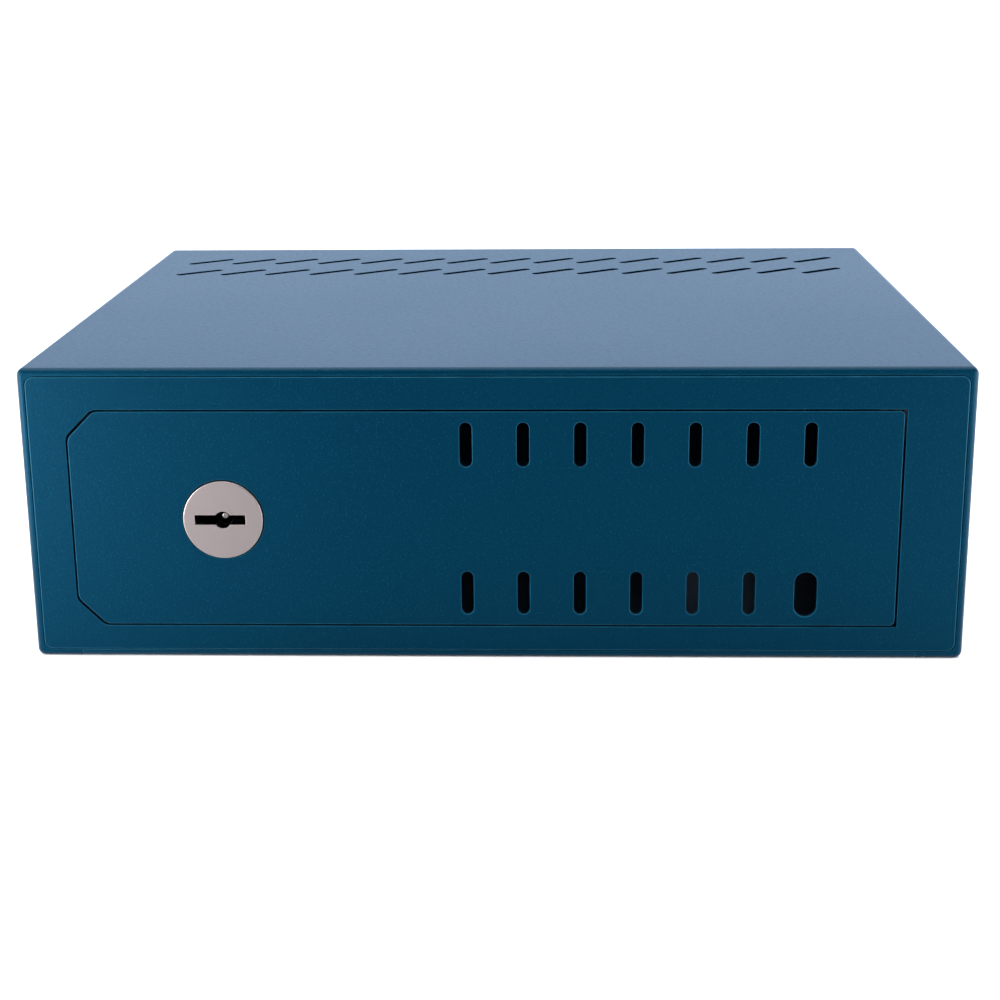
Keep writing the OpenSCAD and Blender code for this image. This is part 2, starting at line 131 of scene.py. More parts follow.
@dataclass
class Sketch:
    """Adds and joins the nodes of one node tree."""

    tree: Tree

    def add(self, kind: str, inputs: dict[str, object] | None = None, **settings: object) -> Node:
        """Adds one node.

        Args:
            kind: Blender's name of the node type.
            inputs: Values for the node's input sockets, by name or by index.
            settings: Values for the node's own properties.

        Returns:
            The new node.
        """
        node = self.tree.nodes.new(kind)
        for name, value in settings.items():
            setattr(node, name, value)
        for name, value in (inputs or {}).items():
            node.inputs[name].default_value = value
        return node

    def join(self, source: Socket, target: Socket) -> None:
        """Joins an output socket to an input socket.

        Args:
            source: The output socket.
            target: The input socket.
        """
        self.tree.links.new(source, target)

    def feed(self, target: Socket, value: object) -> None:
        """Gives an input socket its value.

        Args:
            target: The input socket.
            value: Another socket, a colour or a number.
        """
        if isinstance(value, Socket):
            self.join(value, target)
        elif isinstance(value, tuple):
            target.default_value = (*value, 1.0)
        else:
            target.default_value = value

    def attribute(self, name: str) -> Socket:
        """Reads one of the piece's own attributes.

        Args:
            name: The attribute's name.

        Returns:
            The socket with its value.
        """
        return self.add("ShaderNodeAttribute", attribute_name=name).outputs["Fac"]

    def noise(self, vector: Socket, scale: float, detail: float = 2.0, rough: float = 0.5) -> Socket:
        """Adds a noise texture.

        Args:
            vector: The coordinates it reads.
            scale: Cells per metre.
            detail: Octaves.
            rough: How strong the finer octaves are.

        Returns:
            The socket with the noise value.
        """
        node = self.add("ShaderNodeTexNoise", {"Scale": scale, "Detail": detail, "Roughness": rough})
        self.join(vector, node.inputs["Vector"])
        return node.outputs["Fac"]

    def ramp(
        self, value: Socket, low: float, high: float, to_low: float = 0.0, to_high: float = 1.0
    ) -> Socket:
        """Maps a value from one range to another, clamped.

        Args:
            value: The socket to map.
            low: Start of the range read.
            high: End of the range read.
            to_low: Result at the start.
            to_high: Result at the end.

        Returns:
            The mapped value's socket.
        """
        limits = {"From Min": low, "From Max": high, "To Min": to_low, "To Max": to_high}
        node = self.add("ShaderNodeMapRange", limits)
        self.join(value, node.inputs["Value"])
        return node.outputs["Result"]

    def blend(self, mask: Socket, first: Socket | Colour, second: Socket | Colour) -> Socket:
        """Mixes two colours.

        Args:
            mask: The share of the second colour.
            first: The first colour, as a socket or as numbers.
            second: The second colour, as a socket or as numbers.

        Returns:
            The mixed colour's socket.
        """
        node = self.add("ShaderNodeMix", data_type="RGBA")
        share, colours, mixed = node.inputs[0], node.inputs[6:8], node.outputs[2]
        self.join(mask, share)
        self.feed(colours[0], first)
        self.feed(colours[1], second)
        return mixed

    def maths(self, operation: str, first: Socket | float, second: Socket | float) -> Socket:
        """Adds a maths node.

        Args:
            operation: Blender's name of the operation.
            first: The first operand.
            second: The second operand.

        Returns:
            The result's socket.
        """
        node = self.add("ShaderNodeMath", operation=operation)
        self.feed(node.inputs[0], first)
        self.feed(node.inputs[1], second)
        return node.outputs[0]

    def times(self, first: Socket | float, second: Socket | float) -> Socket:
        """Multiplies two values.

        Args:
            first: The first factor.
            second: The second factor.

        Returns:
            The product's socket.
        """
        return self.maths("MULTIPLY", first, second)


class EffectLibrary:
    """Builds each shared shader effect once, as a node group, and hands it out."""

    @staticmethod
    def _group(
        name: str, inputs: dict[str, float | None], outputs: Sequence[str]
    ) -> tuple[Sketch, Node, Node]:
        """Makes an empty group with its sockets.

        Args:
            name: The group's name.
            inputs: Default of each input, by name. An input without a default takes a vector.
            outputs: Names of the float outputs.

        Returns:
            The sketch of the group, its input node and its output node.
        """
        tree = bpy.data.node_groups.new(name, "ShaderNodeTree")
        for label, default in inputs.items():
            kind = "NodeSocketVector" if default is None else "NodeSocketFloat"
            socket = tree.interface.new_socket(name=label, in_out="INPUT", socket_type=kind)
            if default is not None:
                socket.default_value = default
        for label in outputs:
            tree.interface.new_socket(name=label, in_out="OUTPUT", socket_type="NodeSocketFloat")
        sketch = Sketch(tree)
        return sketch, sketch.add("NodeGroupInput"), sketch.add("NodeGroupOutput")

    @classmethod
    @cache
    def powder_grain(cls) -> Tree:
        """Builds the fine pebbled skin of baked powder, with its slow drift in tone.

        Returns:
            The group, which gives Height, Tone and Speck.
        """
        inputs = {"Vector": None, "Pebbles": 1.0}
        sketch, given, result = cls._group("powder_grain", inputs, ["Height", "Tone", "Speck"])
        vector = given.outputs["Vector"]
        pebbles = sketch.noise(vector, scale=900.0, detail=3.0, rough=0.65)
        peel = sketch.noise(vector, scale=330.0, detail=1.0)
        peel_share = 0.5
        rough_skin = sketch.times(pebbles, given.outputs["Pebbles"])
        sketch.join(sketch.maths("ADD", sketch.times(peel, peel_share), rough_skin), result.inputs["Height"])
        drift = sketch.noise(vector, scale=5.0, detail=2.0, rough=0.45)
        sketch.join(sketch.ramp(drift, low=0.2, high=0.8), result.inputs["Tone"])
        speck = sketch.noise(vector, scale=1100.0, detail=1.0)
        sketch.join(sketch.ramp(speck, low=0.6, high=0.72), result.inputs["Speck"])
        return sketch.tree

    @classmethod
    @cache
    def edge_wear_and_highlight(cls) -> Tree:
        """Builds a broken mask along rolled edges, where a finish is rubbed down, and where the paint is
        lightened as a painted highlight.

        Returns:
            The group, which gives Mask.
        """
        inputs = {"Vector": None, "Edge": 0.0, "Amount": 0.5}
        sketch, given, result = cls._group("edge_wear_and_highlight", inputs, ["Mask"])
        breaks = sketch.noise(given.outputs["Vector"], scale=60.0, detail=4.0, rough=0.65)
        patches = sketch.ramp(breaks, low=0.35, high=0.65, to_low=0.45)
        # On the paint this mask is partly rubbed edges, partly painted highlight along edges and slot
        # outlines.
        rubbed = sketch.times(given.outputs["Edge"], patches)
        sketch.join(sketch.times(rubbed, given.outputs["Amount"]), result.inputs["Mask"])
        return sketch.tree

    @classmethod
    @cache
    def metal_grain(cls) -> Tree:
        """Builds fine drawn lines along one axis, with slow smudges across them.

        Returns:
            The group, which gives Lines and Smudge.
        """
        inputs = {"Vector": None, "Stretch": None}
        sketch, given, result = cls._group("metal_grain", inputs, ["Lines", "Smudge"])
        scaled = sketch.add("ShaderNodeVectorMath", operation="MULTIPLY")
        sketch.join(given.outputs["Vector"], scaled.inputs[0])
        sketch.join(given.outputs["Stretch"], scaled.inputs[1])
        lines = sketch.noise(scaled.outputs[0], scale=1.0, detail=2.0, rough=0.6)
        sketch.join(lines, result.inputs["Lines"])
        smudge = sketch.noise(given.outputs["Vector"], scale=38.0, detail=3.0, rough=0.6)
        sketch.join(sketch.ramp(smudge, low=0.35, high=0.68), result.inputs["Smudge"])
        return sketch.tree

    @classmethod
    @cache
    def dust_veil(cls) -> Tree:
        """Builds a thin broken veil of dust on faces that look up.

        Returns:
            The group, which gives Mask.
        """
        inputs = {"Vector": None, "Amount": 0.1}
        sketch, given, result = cls._group("dust_veil", inputs, ["Mask"])
        split = sketch.add("ShaderNodeSeparateXYZ")
        sketch.join(sketch.add("ShaderNodeNewGeometry").outputs["Normal"], split.inputs[0])
        upward = sketch.ramp(split.outputs["Z"], low=0.5, high=1.0)
        grit = sketch.noise(given.outputs["Vector"], scale=420.0, detail=4.0, rough=0.7)
        motes = sketch.ramp(grit, low=0.45, high=0.75, to_low=0.2)
        lying = sketch.times(upward, motes)
        sketch.join(sketch.times(lying, given.outputs["Amount"]), result.inputs["Mask"])
        return sketch.tree


@dataclass(frozen=True)
class Finish:
    """A surface finish: what every one of them has in common."""

    slot: Slot
    colour: Colour
    roughness: float

    def _start(self) -> tuple[Sketch, Node, Socket, Material]:
        """Makes the bare material.

        Returns:
            The sketch of its tree, its shader node, its object coordinates and the material.
        """
        material = bpy.data.materials.new(self.slot.value)
        material.use_nodes = True
        material.node_tree.nodes.clear()
        sketch = Sketch(material.node_tree)
        shader = sketch.add("ShaderNodeBsdfPrincipled")
        target = sketch.add("ShaderNodeOutputMaterial")
        sketch.join(shader.outputs["BSDF"], target.inputs["Surface"])
        place = sketch.add("ShaderNodeTexCoord").outputs["Object"]
        return sketch, shader, place, material

    def _effect(self, sketch: Sketch, tree: Tree, place: Socket, **values: object) -> Node:
        """Places a shared effect in the material.

        Args:
            sketch: The material's sketch.
            tree: The effect's group.
            place: The coordinates it reads.
            values: The effect's own inputs, by name.

        Returns:
            The group node.
        """
        node = sketch.add("ShaderNodeGroup", node_tree=tree)
        sketch.join(place, node.inputs["Vector"])
        for name, value in values.items():
            node.inputs[name].default_value = value
        return node

    def _edge(self, sketch: Sketch, place: Socket, amount: float) -> Socket:
        """Adds the edge mask, which follows the piece's own edge attribute: rubbed edges, and on the paint
        also a painted highlight.

        Args:
            sketch: The material's sketch.
            place: The coordinates it reads.
            amount: How strong the mask is, from 0 to 1: rubbed edges, and on the paint also painted
                highlight.

        Returns:
            The mask's socket.
        """
        wear_and_highlight = self._effect(sketch, EffectLibrary.edge_wear_and_highlight(), place, Amount=amount)
        sketch.join(sketch.attribute(EDGE_LAYER), wear_and_highlight.inputs["Edge"])
        return wear_and_highlight.outputs["Mask"]

    def _relief(self, sketch: Sketch, shader: Node, height: Socket, depth: float) -> None:
        """Turns a height into the shader's normal.

        Args:
            sketch: The material's sketch.
            shader: Its shader node.
            height: The height, from 0 to 1.
            depth: How deep a height of 1 is, in metres.
        """
        bump = sketch.add("ShaderNodeBump", {"Strength": 1.0, "Distance": depth})
        sketch.join(height, bump.inputs["Height"])
        sketch.join(bump.outputs["Normal"], shader.inputs["Normal"])


@dataclass(frozen=True)
class PowderCoat(Finish):
    """Fine-textured satin powder coat in deep petrol blue."""

    lifted: Colour = (0.0002, 0.0165, 0.0345)
    # Lighter tone for rolled edges and specks; on the edges it is partly rubbed paint, partly painted
    # highlight.
    edge_colour: Colour = (0.01, 0.10, 0.17)
    sheen_tint: Colour = (0.01, 0.14, 0.25)
    dust_colour: Colour = (0.35, 0.38, 0.40)
    shade_colour: Colour = (0.0, 0.003, 0.010)
    pebble_depth: float = 0.09 * MM
    pebble_share: float = 0.8
    speck_share: float = 0.18
    # Strength of the lighter edge tone: partly rubbed paint, partly painted highlight.
    wear_and_highlight: float = 0.55
    dust: float = 0.035
    drift_roughness: float = 0.03
    dust_roughness: float = 3.0
    sheen: float = 0.5
    ior: float = 1.5

    def material(self) -> Material:
        """Builds the material.

        Returns:
            The material.
        """
        sketch, shader, place, material = self._start()
        grain = self._effect(sketch, EffectLibrary.powder_grain(), place, Pebbles=self.pebble_share)
        tone = sketch.blend(grain.outputs["Tone"], self.colour, self.lifted)
        specks = sketch.times(grain.outputs["Speck"], self.speck_share)
        specked = sketch.blend(specks, tone, self.edge_colour)
        # Painted highlight and rubbed paint: rolled edges are lightened towards edge_colour.
        edged = sketch.blend(self._edge(sketch, place, self.wear_and_highlight), specked, self.edge_colour)
        veil = self._effect(sketch, EffectLibrary.dust_veil(), place, Amount=self.dust).outputs["Mask"]
        dusty = sketch.blend(veil, edged, self.dust_colour)
        # Painted shade: where the shade layer is set, the colour goes to shade_colour and the sheen is
        # turned off.
        shaded = sketch.attribute(SHADE_LAYER)
        sketch.join(sketch.blend(shaded, dusty, self.shade_colour), shader.inputs["Base Color"])
        gloss = sketch.ramp(shaded, low=0.0, high=1.0, to_low=self.sheen, to_high=0.0)
        sketch.join(gloss, shader.inputs["Specular IOR Level"])
        roughest = self.roughness + self.drift_roughness
        rough = sketch.ramp(grain.outputs["Tone"], 0.0, 1.0, self.roughness, roughest)
        dulled = sketch.maths("ADD", rough, sketch.times(veil, self.dust_roughness))
        sketch.join(dulled, shader.inputs["Roughness"])
        shader.inputs["Specular Tint"].default_value = (*self.sheen_tint, 1.0)
        shader.inputs["IOR"].default_value = self.ior
        self._relief(sketch, shader, grain.outputs["Height"], self.pebble_depth)
        return material


@dataclass(frozen=True)
class PlatedMetal(Finish):
    """A metal surface with drawn or stamped grain, smudges and rubbed edges."""

    smudge_colour: Colour
    edge_colour: Colour = (0.75, 0.75, 0.75)
    # Painted shade: the colour a metal goes to where the shade layer is set.
    painted_shade_colour: Colour = (0.006, 0.009, 0.018)
    stretch: Point = (60.0, 2600.0, 2600.0)
    line_depth: float = 0.006 * MM
    smudge_share: float = 0.35
    smudge_roughness: float = 0.06
    wear_and_highlight: float = 0.5
    line_range: tuple[float, float] = (0.3, 0.7)
    line_roughness: tuple[float, float] = (0.04, 0.05)

    def material(self) -> Material:
        """Builds the material.

        Returns:
            The material.
        """
        sketch, shader, place, material = self._start()
        grain = self._effect(sketch, EffectLibrary.metal_grain(), place, Stretch=self.stretch)
        share = sketch.times(grain.outputs["Smudge"], self.smudge_share)
        tone = sketch.blend(share, self.colour, self.smudge_colour)
        # Painted shade from the shade layer.
        dark = sketch.blend(sketch.attribute(SHADE_LAYER), tone, self.painted_shade_colour)
        edged = sketch.blend(self._edge(sketch, place, self.wear_and_highlight), dark, self.edge_colour)
        sketch.join(edged, shader.inputs["Base Color"])
        shader.inputs["Metallic"].default_value = 1.0
        smoothest = self.roughness - self.line_roughness[0]
        roughest = self.roughness + self.line_roughness[1]
        lines = sketch.ramp(grain.outputs["Lines"], *self.line_range, smoothest, roughest)
        dulled = sketch.maths("ADD", lines, sketch.times(grain.outputs["Smudge"], self.smudge_roughness))
        sketch.join(dulled, shader.inputs["Roughness"])
        self._relief(sketch, shader, grain.outputs["Lines"], self.line_depth)
        return material


@dataclass(frozen=True)
class MouldedRubber(Finish):
    """Matt black rubber with a dull bloom."""

    bloom: Colour = (0.022, 0.022, 0.023)
    bloom_share: float = 0.5
    speck_roughness: float = 0.1
    grain_depth: float = 0.03 * MM

    def material(self) -> Material:
        """Builds the material.

        Returns:
            The material.
        """
        sketch, shader, place, material = self._start()
        grain = self._effect(sketch, EffectLibrary.powder_grain(), place)
        share = sketch.times(grain.outputs["Tone"], self.bloom_share)
        sketch.join(sketch.blend(share, self.colour, self.bloom), shader.inputs["Base Color"])
        roughest = self.roughness + self.speck_roughness
        rough = sketch.ramp(grain.outputs["Speck"], 0.0, 1.0, self.roughness, roughest)
        sketch.join(rough, shader.inputs["Roughness"])
        self._relief(sketch, shader, grain.outputs["Height"], self.grain_depth)
        return material


class Finishes:
    """The finishes of this cabinet, each made into a material once."""

    _recipes: dict[Slot, Finish] = {
        Slot.PAINT: PowderCoat(Slot.PAINT, colour=(0.0002, 0.0145, 0.031), roughness=0.33),
        Slot.ZINC: PlatedMetal(
            Slot.ZINC,
            colour=(0.42, 0.435, 0.45), roughness=0.33,
            smudge_colour=(0.33, 0.355, 0.37), stretch=(2400.0, 2400.0, 90.0),
        ),
        Slot.NICKEL: PlatedMetal(
            Slot.NICKEL,
            colour=(0.190, 0.162, 0.158), roughness=0.40,
            smudge_colour=(0.178, 0.151, 0.148), edge_colour=(0.5, 0.45, 0.45),
            stretch=(1500.0, 1500.0, 1500.0), line_depth=0.004 * MM,
        ),
        Slot.STEEL: PlatedMetal(
            Slot.STEEL,
            colour=(0.40, 0.41, 0.43), roughness=0.34,
            smudge_colour=(0.27, 0.27, 0.28), edge_colour=(0.6, 0.63, 0.68),
        ),
        Slot.BRASS: PlatedMetal(
            Slot.BRASS,
            colour=(0.72, 0.52, 0.24), roughness=0.30,
            smudge_colour=(0.55, 0.37, 0.16), edge_colour=(0.85, 0.68, 0.38),
        ),
        Slot.RUBBER: MouldedRubber(Slot.RUBBER, colour=(0.012, 0.012, 0.013), roughness=0.72),
    }

    @classmethod
    @cache
    def of(cls, slot: Slot) -> Material:
        """Hands out the material of one slot.

        Args:
            slot: The slot.

        Returns:
            Its material.
        """
        return cls._recipes[slot].material()


# ---- Piece making ----


def everywhere(_place: object) -> bool:
    """Picks every edge or point.

    Args:
        _place: The edge or the point; not used.

    Returns:
        True.
    """
    return True


def is_sharp(edge: Edge) -> bool:
    """Tests whether the faces on the two sides of an edge meet at a hard corner.

    Args:
        edge: The edge.

    Returns:
        Whether they do.
    """
    return len(edge.link_faces) == 2 and edge.calc_face_angle() > SHARP_ANGLE


def on_level(edge: Edge, y: float, reach: float) -> bool:
    """Tests whether an edge lies in a plane that faces the front.

    Args:
        edge: The edge.
        y: Where the plane is.
        reach: How far from the plane its ends may be, in metres.

    Returns:
        Whether both ends are in the plane.
    """
    return all(abs(v.co.y - y) < reach for v in edge.verts)


def by_outline(edge: Edge, low: Vector, high: Vector, reach: float) -> bool:
    """Tests whether an edge lies by the outline of a box, as it is seen from the front.

    Args:
        edge: The edge.
        low: The box's lower corner.
        high: Its upper corner.
        reach: How far inside the outline the edge's ends may be, in metres.

    Returns:
        Whether both ends are by the outline.
    """
    middle = (low + high) / 2
    half = (high - low) / 2
    offsets = [v.co - middle for v in edge.verts]
    return all(max(abs(o.x) - half.x, abs(o.z) - half.z) > -reach for o in offsets)


def spread(start: float, end: float, count: int) -> list[float]:
    """Divides a length into equal stretches.

    Args:
        start: Where the length starts.
        end: Where it ends.
        count: The number of stretches.

    Returns:
        The middle of each stretch.
    """
    return [start + (i + 0.5) * (end - start) / count for i in range(count)]


def merged_copy(node: str) -> Draft:
    """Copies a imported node's mesh, joined up and with its flat faces whole.

    Args:
        node: The node's name.

    Returns:
        The copy. Its curved faces are marked smooth and its flat ones aren't.
    """
    draft = bmesh.new()
    draft.from_mesh(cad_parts[node].data)
    bmesh.ops.remove_doubles(draft, verts=draft.verts[:], dist=MERGE_GAP)
    bmesh.ops.dissolve_limit(
        draft, angle_limit=FLAT_ANGLE, use_dissolve_boundaries=False,
        verts=draft.verts[:], edges=draft.edges[:],
    )
    for face in draft.faces:
        bends = (FLAT_ANGLE < e.calc_face_angle(0.0) < SHARP_ANGLE for e in face.edges)
        face.smooth = any(bends) and face.calc_area() < BIG_FACE
    return draft


def round_edges(
    draft: Draft, chosen: EdgeTest, width: float, segments: int = 3, edge_mark: float = 1.0
) -> None:
    """Rounds the hard edges that a test picks, and marks them as paint edges.

    Args:
        draft: The mesh being shaped.
        chosen: Says whether an edge is to be rounded.
        width: How far the rounding reaches from the edge, in metres.
        segments: Faces across the rounding.
        edge_mark: How strongly the rounding takes the lighter edge colour, from 0 to 1: a rubbed finish, and
            on the paint also painted highlight.
    """
    layer = draft.verts.layers.float.get(EDGE_LAYER) or draft.verts.layers.float.new(EDGE_LAYER)
    edges = [e for e in draft.edges if is_sharp(e) and chosen(e)]
    if not edges:
        return
    ends = list({v for e in edges for v in e.verts})
    made = bmesh.ops.bevel(
        draft, geom=ends + edges, offset=width, offset_type="OFFSET", segments=segments, profile=0.5,
        affect="EDGES", clamp_overlap=False, loop_slide=True, material=-1,
    )
    rolled = set(made["faces"])
    for face in rolled:
        face.smooth = True
    for vert in made["verts"]:
        vert[layer] = edge_mark if all(f in rolled for f in vert.link_faces) else 0.0


def paint_shade(draft: Draft, chosen: PointTest, depth: float = 1.0) -> None:
    """Paints shade into the stretches of a part that a test picks, darkening their colour to stand for the
    shade in recesses and gaps.

    Args:
        draft: The mesh being shaped.
        chosen: Says whether a point gets painted shade.
        depth: How dark the painted shade is, from 0 to 1.
    """
    layer = draft.verts.layers.float.get(SHADE_LAYER) or draft.verts.layers.float.new(SHADE_LAYER)
    for vert in draft.verts:
        if chosen(vert.co):
            vert[layer] = depth


def turned(outline: Profile, axis: Axis, at: Vector, steps: int) -> Draft:
    """Turns an outline into a closed round solid.

    Args:
        outline: Radius and height of each point, in metres, closed or with its ends on the axis.
        axis: The direction of the solid's axis.
        at: Where the outline's origin goes.
        steps: Faces round the axis.

    Returns:
        The solid.
    """
    draft = bmesh.new()
    verts = [draft.verts.new((radius, 0.0, height)) for radius, height in outline]
    for first, second in zip(verts, verts[1:]):
        draft.edges.new((first, second))
    if outline[0][0] > 0 and outline[-1][0] > 0:
        draft.edges.new((verts[-1], verts[0]))
    bmesh.ops.spin(
        draft, geom=draft.verts[:] + draft.edges[:], cent=(0, 0, 0), axis=(0, 0, 1), dvec=(0, 0, 0),
        angle=math.tau, steps=steps, use_merge=True, use_normal_flip=False, use_duplicate=False,
    )
    bmesh.ops.remove_doubles(draft, verts=draft.verts[:], dist=MERGE_GAP)
    bmesh.ops.recalc_face_normals(draft, faces=draft.faces[:])
    turn = {
        Axis.Y: Matrix.Rotation(-math.pi / 2, 4, "X"),
        Axis.Z: Matrix.Identity(4),
    }[axis]
    bmesh.ops.transform(draft, matrix=Matrix.Translation(at) @ turn, verts=draft.verts[:])
    for face in draft.faces:
        face.smooth = True
    return draft


def joined(drafts: Iterable[Draft]) -> Draft:
    """Puts several drafts into one and frees them.

    Args:
        drafts: The drafts.

    Returns:
        The mesh that holds them all.
    """
    whole = bmesh.new()
    for draft in drafts:
        mesh = bpy.data.meshes.new("draft")
        draft.to_mesh(mesh)
        draft.free()
        whole.from_mesh(mesh)
        bpy.data.meshes.remove(mesh)
    return whole


def finish_piece(
    name: str, draft: Draft, body: Body, slot: Slot, stands_for: Sequence[str] = ()
) -> Piece:
    """Makes a draft a piece of the cabinet: named, dressed and riding on its body.

    Args:
        name: The piece's name.
        draft: Its mesh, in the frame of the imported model. It is freed.
        body: The body that it rides on.
        slot: The finish that it has.
        stands_for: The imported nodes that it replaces.

    Returns:
        The piece.
    """
    mesh = bpy.data.meshes.new(name)
    draft.to_mesh(mesh)
    draft.free()
    piece = bpy.data.objects.new(name, mesh)
    bpy.context.scene.collection.objects.link(piece)
    mesh.materials.append(Finishes.of(slot))
    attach(piece, body.value)
    if stands_for:
        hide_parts(*stands_for)
    LOG.info("%s: %d faces, rides on %s", name, len(mesh.polygons), body.value)
    return piece


def rolled_part(node: str, body: Body, slot: Slot, width: float, segments: int = 3) -> Piece:
    """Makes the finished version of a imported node, with all its hard edges rounded alike.

    Args:
        node: The node's name.
        body: The body that it rides on.
        slot: The finish that it has.
        width: How far each rounding reaches, in metres.
        segments: Faces across each rounding.

    Returns:
        The piece, which stands for the node.
    """
    draft = merged_copy(node)
    round_edges(draft, everywhere, width, segments)
    return finish_piece(f"{node}_finished", draft, body, slot, [node])


@dataclass(frozen=True)
class WeldTorch:
    """Lays rippled weld beads of one size."""

    radius: float = 1.7 * MM
    ripple_pitch: float = 1.3
    fewest_ripples: int = 3
    rings_per_ripple: int = 4
    trough: float = 0.88
    ripple_height: float = 0.12
    steps: int = 12

    def lay(self, start: Vector, end: Vector) -> Draft:
        """Makes a bead between two points.

        Args:
            start: Middle of the bead's first end.
            end: Middle of its last end.

        Returns:
            The bead, as a closed solid.
        """
        length = (end - start).length
        ripples = max(self.fewest_ripples, round(length / (self.ripple_pitch * self.radius)))
        count = ripples * self.rings_per_ripple
        outline = [(0.0, 0.0)]
        for i in range(1, count):
            along = i / count
            swell = self.trough + self.ripple_height * abs(math.sin(math.pi * ripples * along))
            taper = min(1.0, math.sqrt(min(along, 1 - along) * length / self.radius))
            outline.append((self.radius * swell * taper, along * length))
        outline.append((0.0, length))
        draft = turned(outline, Axis.Z, Vector((0, 0, 0)), self.steps)
        turn = (end - start).to_track_quat("Z", "Y").to_matrix().to_4x4()
        bmesh.ops.transform(draft, matrix=Matrix.Translation(start) @ turn, verts=draft.verts[:])
        return draft


# ---- The cabinet's sub-assemblies ----


@dataclass
class Enclosure:
    """The welded sheet body, its front frame and what is fixed to them."""

    sheet_edge: float = 0.4 * MM
    rim_round: float = 2.9 * MM
    rim_steps: int = 7
    rim_depth: float = 0.1 * MM
    plate_edge: float = 0.6 * MM
    plate_reach: float = 6 * MM
    small_edge: float = 0.35 * MM
    vent_span: float = 235 * MM
    vent_rows: tuple[float, float] = (80 * MM, 170 * MM)
    grommet_wall: float = 9 * MM
    groove_depth: float = 3 * MM
    bore_edge: float = 0.8 * MM
    lip_steps: int = 8
    grommet_steps: int = 64
    stitch_length: float = 22 * MM
    stitches_wide: int = 5
    stitches_high: int = 2
    stop_stitches: int = 3
    stop_lift: float = 0.6 * MM
    keeper_inset: float = 12 * MM

    def build(self) -> None:
        """Makes every piece of the enclosure."""
        self.rimmed_sheet("cabinet_wrapper")
        self.rimmed_sheet("floor_panel")
        rolled_part("back_panel", Body.CABINET, Slot.PAINT, self.sheet_edge)
        self.front_frame()
        self.grommet()
        for side in SIDES:
            rolled_part(f"door_stop_{side}", Body.CABINET, Slot.PAINT, self.small_edge, segments=2)
        rolled_part("bolt_keeper", Body.CABINET, Slot.ZINC, self.small_edge)
        self.stitch_welds()
        self.stop_welds()

    def rimmed_sheet(self, node: str) -> Piece:
        """Makes a folded sheet, with the full bend of the rim along its outer front edge.

        Args:
            node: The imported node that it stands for.

        Returns:
            The piece.
        """
        draft = merged_copy(node)
        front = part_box(node)[0].y
        vent_depth = 4 * self.sheet_edge

        def on_rim(edge: Edge) -> bool:
            """Tests for the outer front edge."""
            outside = by_outline(edge, *CAD_BOX, self.rim_round / 2)
            return outside and on_level(edge, front, self.rim_depth)

        def in_vent(at: Vector) -> bool:
            """Tests for the walls of the top vents."""
            under = self.sheet_edge / 2 < CAD_BOX[1].z - at.z < vent_depth
            in_rows = self.vent_rows[0] < at.y < self.vent_rows[1]
            return under and abs(at.x) < self.vent_span and in_rows

        round_edges(draft, on_rim, self.rim_round, self.rim_steps, edge_mark=0.0)
        round_edges(draft, everywhere, self.sheet_edge)
        # Painted shade: the walls of the top vents are darkened, standing for the shade inside the slots.
        paint_shade(draft, in_vent)
        return finish_piece(f"{node}_finished", draft, Body.CABINET, Slot.PAINT, [node])

    def front_frame(self) -> Piece:
        """Makes the front plate, with a fuller round on its outer front edge.

        Returns:
            The piece.
        """
        draft = merged_copy("front_frame")
        low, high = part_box("front_frame")

        def on_outside(edge: Edge) -> bool:
            """Tests for the outer front edge."""
            outer = by_outline(edge, low, high, self.plate_reach)
            return outer and on_level(edge, low.y, self.rim_depth)

        def from_front(edge: Edge) -> bool:
            """Tests for the edges that start in the front face."""
            return abs(edge.verts[0].co.y - low.y) < self.rim_depth

        round_edges(draft, on_outside, self.plate_edge, segments=4)
        round_edges(draft, from_front, self.small_edge)
        return finish_piece("front_frame_finished", draft, Body.CABINET, Slot.PAINT, ["front_frame"])

    def grommet(self) -> Piece:
        """Makes the rubber ring in the cable hole, with full round lips.

        Returns:
            The piece.
        """
        low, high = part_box("cable_grommet")
        panel_low, panel_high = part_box("back_panel")
        outer = (high.x - low.x) / 2
        length = high.y - low.y
        bore = outer - self.grommet_wall
        neck = outer - self.groove_depth
        lip = panel_low.y - low.y
        rear = lip + (panel_high.y - panel_low.y)
        radius = lip / 2
        outline = [(bore + self.bore_edge, 0.0)]
        for centre in (radius, rear + (length - rear) / 2):
            for i in range(self.lip_steps + 1):
                angle = math.radians(i * 180 / self.lip_steps - 90)
                reach = outer - radius + radius * math.cos(angle)
                outline.append((reach, centre + radius * math.sin(angle)))
            if centre < rear:
                outline += [(neck, lip), (neck, rear)]
        outline.append((bore + self.bore_edge, length))
        outline.append((bore, length - self.bore_edge))
        outline.append((bore, self.bore_edge))
        at = Vector(((low.x + high.x) / 2, low.y, (low.z + high.z) / 2))
        draft = turned(outline, Axis.Y, at, self.grommet_steps)
        name = "cable_grommet"
        return finish_piece(f"{name}_finished", draft, Body.CABINET, Slot.RUBBER, [name])

    def stitch_welds(self) -> Piece:
        """Makes the short welds that join the back panel to the wrapper.

        Returns:
            The piece.
        """
        low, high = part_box("back_panel")
        beads = []
        for x in spread(low.x, high.x, self.stitches_wide):
            for z in (low.z, high.z):
                beads.append(self._stitch(Vector((x, high.y, z)), RIGHT))
        for z in spread(low.z, high.z, self.stitches_high):
            for x in (low.x, high.x):
                beads.append(self._stitch(Vector((x, high.y, z)), UP))
        return finish_piece("back_stitch_welds", joined(beads), Body.CABINET, Slot.PAINT)

    def _stitch(self, middle: Vector, along: Vector) -> Draft:
        """Makes one stitch weld.

        Args:
            middle: Its middle.
            along: Its direction, one unit long.

        Returns:
            The bead.
        """
        reach = along * self.stitch_length / 2
        return WeldTorch().lay(middle - reach, middle + reach)

